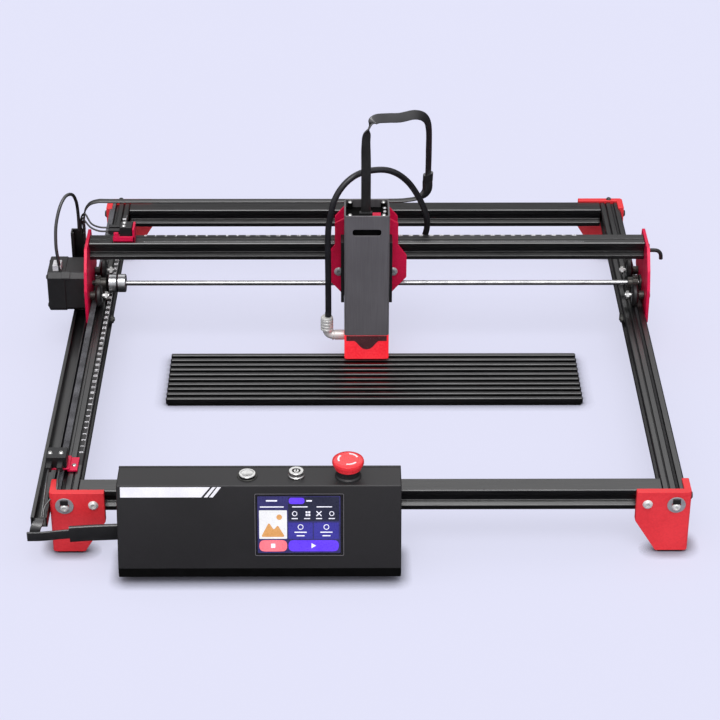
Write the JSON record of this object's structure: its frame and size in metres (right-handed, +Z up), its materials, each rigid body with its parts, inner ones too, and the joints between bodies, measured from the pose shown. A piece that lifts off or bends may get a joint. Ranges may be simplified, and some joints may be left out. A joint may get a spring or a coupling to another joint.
{
  "type": "desktop laser cutter",
  "caption": "Open-frame desktop laser cutter with a sliding gantry, a focusing laser head on a carriage, and a front console with touch screen and stop button.",
  "frame": {"origin": "middle of the footprint on the table, under the frame", "axes": "+X to the right along the gantry, +Y from the console to the rear, +Z up"},
  "size_m": [0.5878, 0.6066, 0.2597],
  "materials": {
    "anodised_aluminium": "black anodised extrusion, fine matt",
    "red_enamel": "red powder coat",
    "crimson_enamel": "anodised crimson plate",
    "foot_rubber": "black rubber",
    "belt_rubber": "black toothed belt",
    "switch_plastic": "black moulded plastic",
    "console_plastic": "black satin housing",
    "motor_black": "black motor body",
    "wheel_plastic": "black moulded wheel",
    "steel": "bright steel",
    "bare_aluminium": "bare turned aluminium",
    "head_gunmetal": "dark grey anodised sleeve",
    "mount_black": "black moulding",
    "red_acrylic": "clear red acrylic",
    "estop_red": "red moulded cap",
    "screen_glass": "touch screen",
    "cable_jacket": "black flexible jacket",
    "hose_rubber": "black air hose"
  },
  "bodies": {
    "frame": {"front_beam": "anodised_aluminium", "rear_beam": "anodised_aluminium", "left_rail": "anodised_aluminium", "right_rail": "anodised_aluminium", "corner_front_left": "red_enamel", "corner_front_right": "red_enamel", "corner_rear_left": "red_enamel", "corner_rear_right": "red_enamel", "foot_front_left": "foot_rubber", "foot_front_right": "foot_rubber", "foot_rear_left": "foot_rubber", "foot_rear_right": "foot_rubber", "left_belt": "belt_rubber", "right_belt": "belt_rubber", "y_switch_bracket": "red_enamel", "y_limit_switch": "switch_plastic", "console_shell": "console_plastic", "console_back": "console_plastic", "touch_screen": "screen_glass", "work_slats": "anodised_aluminium", "cable_carrier": "mount_black", "console_lead": "cable_jacket"},
    "gantry": {"x_beam": "anodised_aluminium", "x_belt": "belt_rubber", "left_plate": "crimson_enamel", "right_plate": "crimson_enamel", "y_motor": "motor_black", "x_switch_bracket": "red_enamel", "x_limit_switch": "switch_plastic", "motor_lead": "cable_jacket", "head_cable_run": "cable_jacket"},
    "drive": {"motor_pulley": "bare_aluminium", "shaft_coupling": "steel", "drive_shaft": "steel", "right_pulley": "bare_aluminium"},
    "carriage": {"carriage_front_plate": "crimson_enamel", "carriage_rear_plate": "crimson_enamel", "x_motor": "motor_black", "head_mount": "mount_black", "air_hose": "hose_rubber", "head_cable_loop": "cable_jacket"},
    "x_drive": {"x_pulley": "bare_aluminium"},
    "head": {"head_housing": "head_gunmetal", "laser_module": "bare_aluminium", "laser_shield": "red_acrylic", "air_elbow": "steel"},
    "fan": {"fan_rotor": "wheel_plastic"},
    "power": {"power_button": "steel"},
    "key": {"key_switch": "steel"},
    "estop": {"estop_button": "estop_red"},
    "left_front_wheel_body": {"left_front_wheel": "wheel_plastic"},
    "left_rear_wheel_body": {"left_rear_wheel": "wheel_plastic"},
    "left_under_wheel_body": {"left_under_wheel": "wheel_plastic"},
    "right_front_wheel_body": {"right_front_wheel": "wheel_plastic"},
    "right_rear_wheel_body": {"right_rear_wheel": "wheel_plastic"},
    "right_under_wheel_body": {"right_under_wheel": "wheel_plastic"},
    "carriage_left_top_wheel_body": {"carriage_left_top_wheel": "wheel_plastic"},
    "carriage_right_top_wheel_body": {"carriage_right_top_wheel": "wheel_plastic"},
    "carriage_left_low_wheel_body": {"carriage_left_low_wheel": "wheel_plastic"},
    "carriage_right_low_wheel_body": {"carriage_right_low_wheel": "wheel_plastic"}
  },
  "joints": [
    {"name": "gantry_slide", "type": "slide", "parent": "frame", "child": "gantry", "axis": [0, 1, 0], "range_m": [-0.25, 0.144], "deforming": ["cable_carrier"]},
    {"name": "carriage_slide", "type": "slide", "parent": "gantry", "child": "carriage", "axis": [1, 0, 0], "range_m": [-0.192, 0.205], "deforming": ["head_cable_run"]},
    {"name": "focus_slide", "type": "slide", "parent": "carriage", "child": "head", "axis": [0, 0, 1], "range_m": [-0.005, 0.022], "deforming": ["head_cable_loop", "air_hose"]},
    {"name": "power_press", "type": "slide", "parent": "frame", "child": "power", "axis": [0, 0, -1], "range_m": [0, 0.0015], "stiffness_N_per_m": 400},
    {"name": "key_turn", "type": "hinge", "parent": "frame", "child": "key", "pos_m": [-0.0465, -0.26975, 0.09], "axis": [0, 0, -1], "range_deg": [0, 90]},
    {"name": "estop_press", "type": "slide", "parent": "frame", "child": "estop", "axis": [0, 0, -1], "range_m": [0, 0.004], "stiffness_N_per_m": 800},
    {"name": "fan_spin", "type": "hinge", "parent": "head", "child": "fan", "pos_m": [0.0152, 0.0658, 0.1426], "axis": [0, 0, 1], "continuous": true},
    {"name": "drive_spin", "type": "hinge", "parent": "gantry", "child": "drive", "pos_m": [0.0164, 0.10125, 0.0696], "axis": [1, 0, 0], "range_deg": [-1050, 1820]},
    {"name": "x_drive_spin", "type": "hinge", "parent": "carriage", "child": "x_drive", "pos_m": [0.0152, 0.1069, 0.0911], "axis": [0, 1, 0], "range_deg": [-1615, 1515]},
    {"name": "left_front_wheel_spin", "type": "hinge", "parent": "gantry", "child": "left_front_wheel_body", "pos_m": [-0.2431, 0.07575, 0.0696], "axis": [1, 0, 0], "range_deg": [-810, 1400]},
    {"name": "left_rear_wheel_spin", "type": "hinge", "parent": "gantry", "child": "left_rear_wheel_body", "pos_m": [-0.2431, 0.12675, 0.0696], "axis": [1, 0, 0], "range_deg": [-810, 1400]},
    {"name": "left_under_wheel_spin", "type": "hinge", "parent": "gantry", "child": "left_under_wheel_body", "pos_m": [-0.2431, 0.10125, 0.0319], "axis": [1, 0, 0], "range_deg": [-1400, 810]},
    {"name": "right_front_wheel_spin", "type": "hinge", "parent": "gantry", "child": "right_front_wheel_body", "pos_m": [0.2759, 0.07575, 0.0696], "axis": [1, 0, 0], "range_deg": [-810, 1400]},
    {"name": "right_rear_wheel_spin", "type": "hinge", "parent": "gantry", "child": "right_rear_wheel_body", "pos_m": [0.2759, 0.12675, 0.0696], "axis": [1, 0, 0], "range_deg": [-810, 1400]},
    {"name": "right_under_wheel_spin", "type": "hinge", "parent": "gantry", "child": "right_under_wheel_body", "pos_m": [0.2759, 0.10125, 0.0319], "axis": [1, 0, 0], "range_deg": [-1400, 810]},
    {"name": "carriage_left_top_wheel_spin", "type": "hinge", "parent": "carriage", "child": "carriage_left_top_wheel_body", "pos_m": [-0.0028, 0.10125, 0.1282], "axis": [0, 1, 0], "range_deg": [-1075, 1150]},
    {"name": "carriage_right_top_wheel_spin", "type": "hinge", "parent": "carriage", "child": "carriage_right_top_wheel_body", "pos_m": [0.0332, 0.10125, 0.1282], "axis": [0, 1, 0], "range_deg": [-1075, 1150]},
    {"name": "carriage_left_low_wheel_spin", "type": "hinge", "parent": "carriage", "child": "carriage_left_low_wheel_body", "pos_m": [-0.0113, 0.10125, 0.0905], "axis": [0, 1, 0], "range_deg": [-1150, 1075]},
    {"name": "carriage_right_low_wheel_spin", "type": "hinge", "parent": "carriage", "child": "carriage_right_low_wheel_body", "pos_m": [0.0417, 0.10125, 0.0905], "axis": [0, 1, 0], "range_deg": [-1150, 1075]}
  ],
  "couplings": [
    {"joint": "drive_spin", "follows": "gantry_slide", "rad_per_m": -126.58},
    {"joint": "x_drive_spin", "follows": "carriage_slide", "rad_per_m": -136.99},
    {"joint": "left_front_wheel_spin", "follows": "gantry_slide", "rad_per_m": -97.087},
    {"joint": "left_rear_wheel_spin", "follows": "gantry_slide", "rad_per_m": -97.087},
    {"joint": "left_under_wheel_spin", "follows": "gantry_slide", "rad_per_m": 97.087},
    {"joint": "right_front_wheel_spin", "follows": "gantry_slide", "rad_per_m": -97.087},
    {"joint": "right_rear_wheel_spin", "follows": "gantry_slide", "rad_per_m": -97.087},
    {"joint": "right_under_wheel_spin", "follows": "gantry_slide", "rad_per_m": 97.087},
    {"joint": "carriage_left_top_wheel_spin", "follows": "carriage_slide", "rad_per_m": 97.087},
    {"joint": "carriage_right_top_wheel_spin", "follows": "carriage_slide", "rad_per_m": 97.087},
    {"joint": "carriage_left_low_wheel_spin", "follows": "carriage_slide", "rad_per_m": -97.087},
    {"joint": "carriage_right_low_wheel_spin", "follows": "carriage_slide", "rad_per_m": -97.087}
  ]
}
